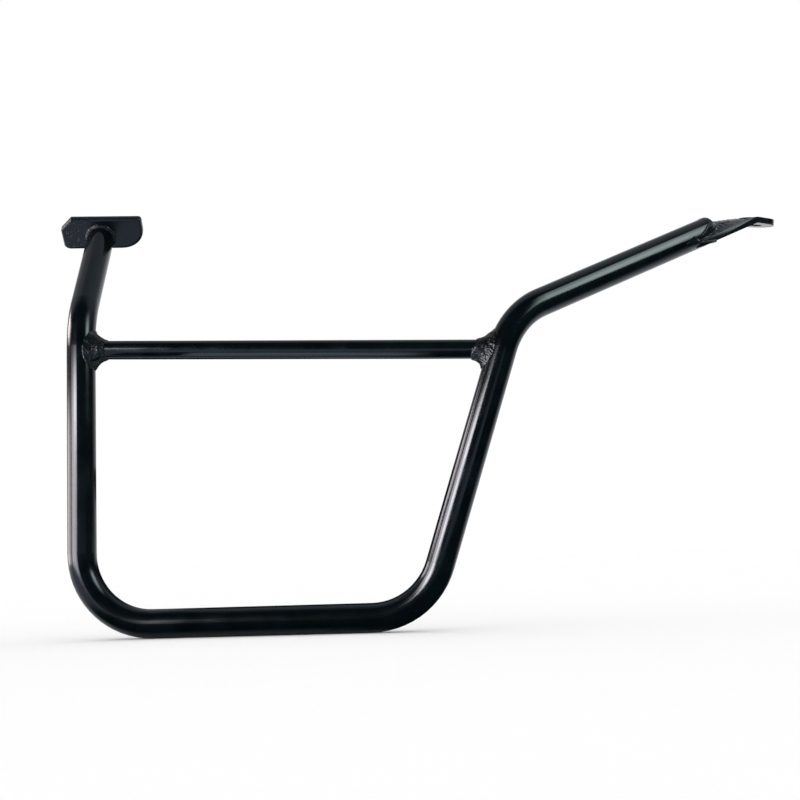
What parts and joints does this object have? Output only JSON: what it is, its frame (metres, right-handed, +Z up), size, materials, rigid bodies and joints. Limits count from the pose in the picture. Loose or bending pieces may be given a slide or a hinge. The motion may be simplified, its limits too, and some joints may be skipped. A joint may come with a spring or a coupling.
{
  "type": "pannier frame",
  "caption": "Welded steel side frame that carries a motorbike pannier: a bent tube loop with a crossbar, arms reaching inboard, a rear pad plate and a folded front bolt tab.",
  "frame": {"origin": "centre of the bolt hole, on the underside of the front tab's flange", "axes": "+X forward along the frame, +Y inboard towards the motorbike, +Z up"},
  "size_m": [0.5154, 0.1321, 0.2992],
  "materials": {
    "powder_coat": "satin black powder coat",
    "coated_weld": "satin black powder coat over rippled weld"
  },
  "bodies": {
    "root": {"main_tube": "powder_coat", "crossbar": "powder_coat", "rear_pad_plate": "powder_coat", "front_tab": "powder_coat", "rear_joint_weld": "coated_weld", "front_joint_weld": "coated_weld", "rear_plate_weld": "coated_weld", "front_tab_upper_weld": "coated_weld", "front_tab_lower_weld": "coated_weld"}
  },
  "joints": []
}
